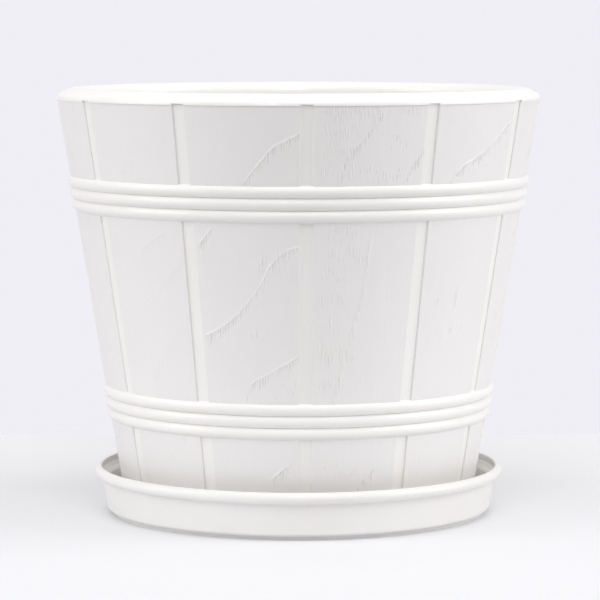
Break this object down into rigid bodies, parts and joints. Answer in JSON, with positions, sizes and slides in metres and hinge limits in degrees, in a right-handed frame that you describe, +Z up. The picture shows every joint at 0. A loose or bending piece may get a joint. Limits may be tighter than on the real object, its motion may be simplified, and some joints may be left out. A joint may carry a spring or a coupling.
{
  "type": "flower pot with saucer",
  "caption": "Round plastic flower pot shaped like a staved barrel with hoops and a smooth lip, standing in a shallow saucer that catches drained water; lifts off.",
  "frame": {"origin": "on the vertical axis of pot and saucer, in the plane that the saucer stands on", "axes": "+Z up along the axis; the front of the pot faces -Y; +X to the right seen from the front"},
  "size_m": [0.2402, 0.2402, 0.212],
  "materials": {
    "pot_plastic": "moulded, satin on lip and hoops, fine wood grain on staves",
    "saucer_plastic": "moulded, smooth satin"
  },
  "bodies": {
    "saucer": {"saucer": "saucer_plastic"},
    "pot": {"pot": "pot_plastic"}
  },
  "joints": [
    {"name": "pot_lift", "type": "slide", "parent": "saucer", "child": "pot", "axis": [0, 0, 1], "range_m": [0, 0.06]}
  ]
}
